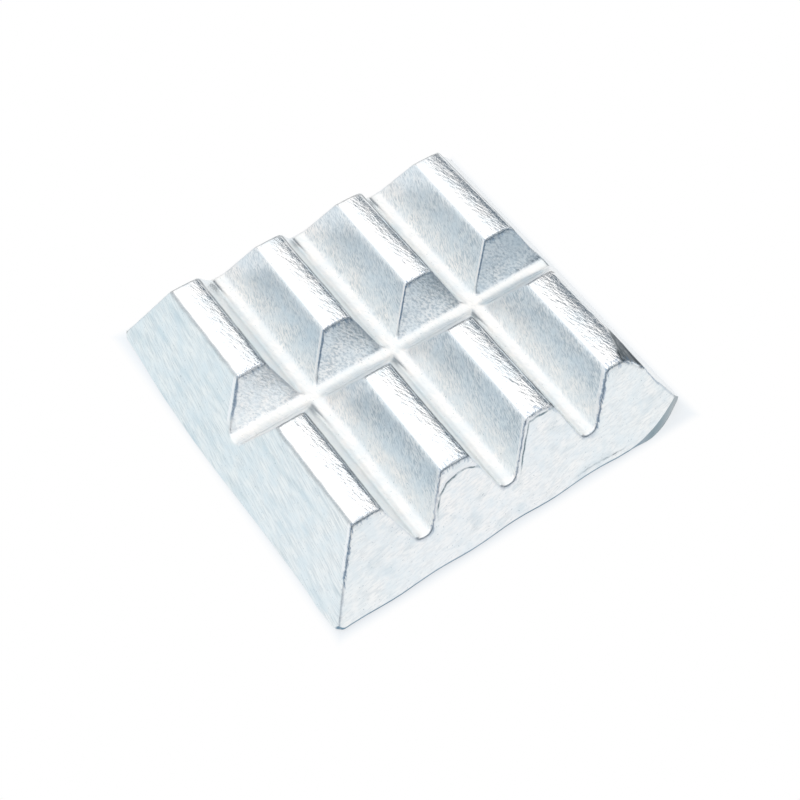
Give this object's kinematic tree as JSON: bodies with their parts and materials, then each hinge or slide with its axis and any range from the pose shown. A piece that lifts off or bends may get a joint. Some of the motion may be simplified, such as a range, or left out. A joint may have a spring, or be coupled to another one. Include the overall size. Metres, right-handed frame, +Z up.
{
  "type": "metal ingot",
  "caption": "Cast metal ingot of the waffle kind: a square plate with rows of tapered lobes parted by valleys, so that pieces break off for charging a furnace.",
  "frame": {"origin": "middle of the flat underside, on the surface it rests on", "axes": "+Z up out of the lobed side, +X along the row of most lobes, +Y across to the other row"},
  "size_m": [0.2098, 0.2022, 0.0472],
  "materials": {
    "cast_metal": "as cast, satin"
  },
  "bodies": {
    "root": {"ingot": "cast_metal"}
  },
  "joints": []
}
